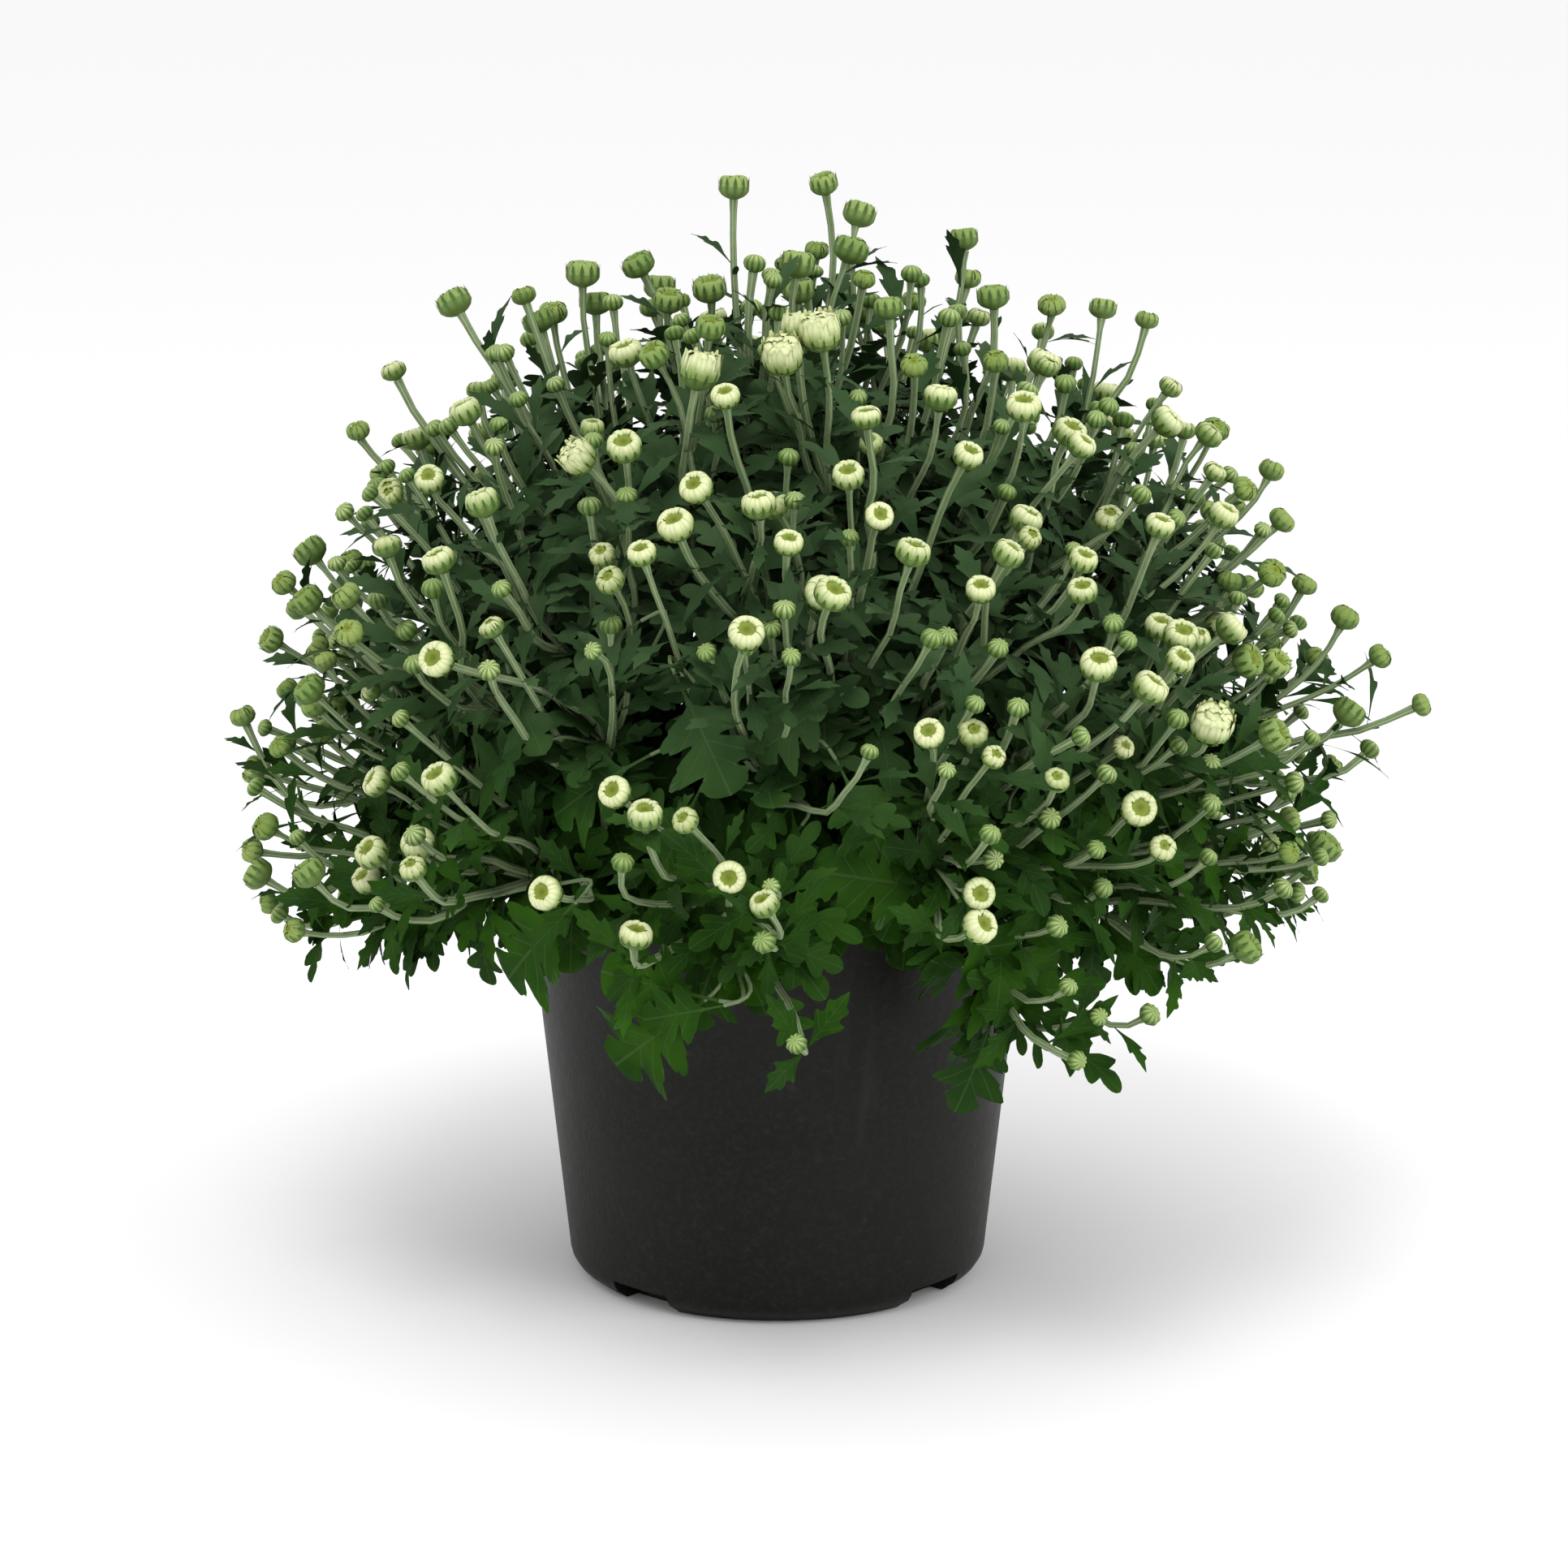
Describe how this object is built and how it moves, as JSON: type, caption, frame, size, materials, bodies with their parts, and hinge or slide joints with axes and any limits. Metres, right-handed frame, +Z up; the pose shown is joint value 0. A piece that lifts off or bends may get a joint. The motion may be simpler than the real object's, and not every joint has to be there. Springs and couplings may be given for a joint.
{
  "type": "potted chrysanthemum",
  "caption": "Bushy chrysanthemum in a round black nursery pot: a dome of branching leafy stems that end in green buds and half-open cream heads.",
  "frame": {"origin": "centre of the pot's flat underside, on the pot's axis", "axes": "+Z up along the pot's axis, -Y towards the side that the picture shows"},
  "size_m": [0.4862, 0.4598, 0.4521],
  "materials": {
    "black_plastic": "satin",
    "peat": "matte",
    "foliage": "matte",
    "petals": "matte"
  },
  "bodies": {
    "root": {"pot": "black_plastic", "soil": "peat", "stem_01": "foliage", "stem_02": "foliage", "stem_03": "foliage", "stem_04": "foliage", "stem_05": "foliage", "stem_06": "foliage", "stem_07": "foliage", "stem_08": "foliage", "stem_09": "foliage", "stem_10": "foliage", "stem_11": "foliage", "stem_12": "foliage", "stem_13": "foliage", "stem_14": "foliage", "stem_15": "foliage", "stem_16": "foliage", "stem_17": "foliage", "stem_18": "foliage", "stem_19": "foliage", "stem_20": "foliage", "stem_21": "foliage"}
  },
  "joints": []
}
